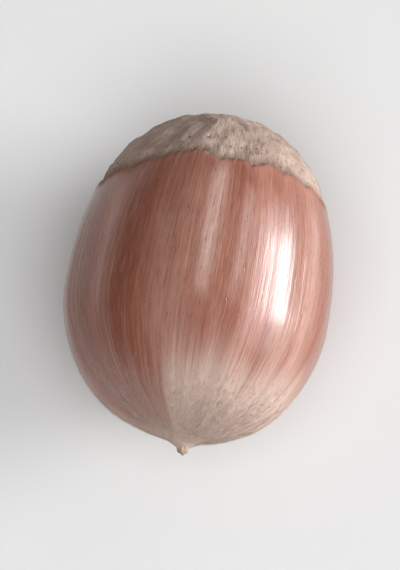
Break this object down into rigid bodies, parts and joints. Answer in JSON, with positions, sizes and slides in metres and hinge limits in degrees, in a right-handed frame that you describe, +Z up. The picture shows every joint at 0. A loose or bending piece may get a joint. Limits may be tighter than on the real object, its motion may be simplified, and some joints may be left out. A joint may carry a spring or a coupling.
{
  "type": "hazelnut",
  "caption": "Hazelnut in its shell, lying on one cheek: ovoid woody shell with uneven lengthwise ribs, a broad pale basal scar and a short off-centre beak.",
  "frame": {"origin": "on the floor, below the middle of the nut's bounding box", "axes": "+Z up from the resting spot, -Y towards the beak, +Y towards the basal scar, X across the two side keels"},
  "size_m": [0.019, 0.0246, 0.0174],
  "materials": {
    "shell": "smooth semi-gloss shell, matt corky scar and matt downy tip"
  },
  "bodies": {
    "root": {"hazelnut": "shell"}
  },
  "joints": []
}
